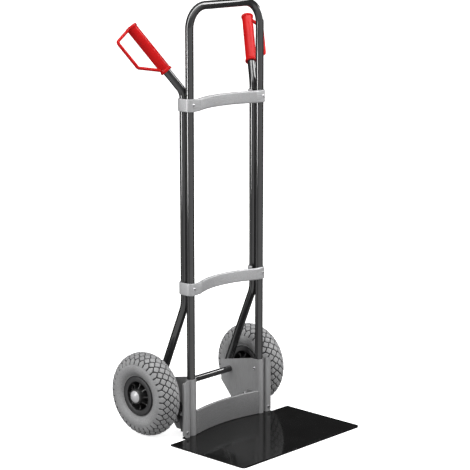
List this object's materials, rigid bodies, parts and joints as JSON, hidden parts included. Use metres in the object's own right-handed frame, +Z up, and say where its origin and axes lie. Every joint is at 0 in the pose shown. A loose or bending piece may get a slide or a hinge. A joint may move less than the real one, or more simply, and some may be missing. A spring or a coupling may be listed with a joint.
{
  "type": "hand truck",
  "caption": "Two-wheeled hand truck: steel tube hoop frame, guarded rear grips, crossbars, steel toe plate and pneumatic wheels on one axle.",
  "frame": {"origin": "on the floor, at the middle of the truck's outer box seen from above", "axes": "+Z up, -Y the way the toe plate points, +X to the truck's right for someone facing +Y"},
  "size_m": [0.6348, 0.5655, 1.3225],
  "materials": {
    "tube_paint": "gloss black stove enamel on round steel tube",
    "plate_paint": "gloss black powder coat on steel plate",
    "aluminium": "satin aluminium, fine brushed grain",
    "rivet_steel": "zinc-plated steel",
    "bearing_steel": "ground bearing steel",
    "grip_plastic": "red moulded plastic, satin",
    "black_plastic": "black moulded plastic",
    "tyre_rubber": "grey non-marking rubber, block tread",
    "tube_rubber": "black butyl rubber",
    "rim_plastic": "dark grey moulded plastic",
    "cap_plastic": "light grey moulded plastic, satin"
  },
  "bodies": {
    "frame": {"hoop_frame": "tube_paint", "rear_tube_left": "tube_paint", "rear_tube_right": "tube_paint", "hoop_foot_plugs": "black_plastic", "rear_tube_plugs": "black_plastic", "upper_crossbar": "aluminium", "lower_crossbar": "aluminium", "upper_crossbar_rivets": "rivet_steel", "lower_crossbar_rivets": "rivet_steel", "bracket_left": "aluminium", "bracket_right": "aluminium", "bracket_rivets": "rivet_steel", "cross_panel": "aluminium", "cross_panel_rivets": "rivet_steel", "toe_plate": "plate_paint", "toe_plate_cheek_left": "plate_paint", "toe_plate_cheek_right": "plate_paint", "toe_plate_rivets": "rivet_steel", "cheek_bolts": "rivet_steel", "cheek_nuts": "rivet_steel", "grip_left": "grip_plastic", "grip_right": "grip_plastic", "axle": "tube_paint", "axle_spacer_left": "tube_paint", "axle_spacer_right": "tube_paint", "axle_washer_left": "rivet_steel", "axle_washer_right": "rivet_steel", "axle_clip_left": "rivet_steel", "axle_clip_right": "rivet_steel"},
    "wheel_left": {"tyre_left": "tyre_rubber", "inner_tube_left": "tube_rubber", "rim_outer_left": "rim_plastic", "rim_inner_left": "rim_plastic", "rim_bolts_left": "rivet_steel", "rim_nuts_left": "rivet_steel", "bearing_outer_left": "bearing_steel", "bearing_inner_left": "bearing_steel", "hub_cap_left": "cap_plastic", "valve_left": "tube_rubber"},
    "wheel_right": {"tyre_right": "tyre_rubber", "inner_tube_right": "tube_rubber", "rim_outer_right": "rim_plastic", "rim_inner_right": "rim_plastic", "rim_bolts_right": "rivet_steel", "rim_nuts_right": "rivet_steel", "bearing_outer_right": "bearing_steel", "bearing_inner_right": "bearing_steel", "hub_cap_right": "cap_plastic", "valve_right": "tube_rubber"}
  },
  "joints": [
    {"name": "wheel_left_spin", "type": "hinge", "parent": "frame", "child": "wheel_left", "pos_m": [-0.2373, 0.15275, 0.13], "axis": [1, 0, 0], "continuous": true},
    {"name": "wheel_right_spin", "type": "hinge", "parent": "frame", "child": "wheel_right", "pos_m": [0.2373, 0.15275, 0.13], "axis": [1, 0, 0], "continuous": true}
  ]
}
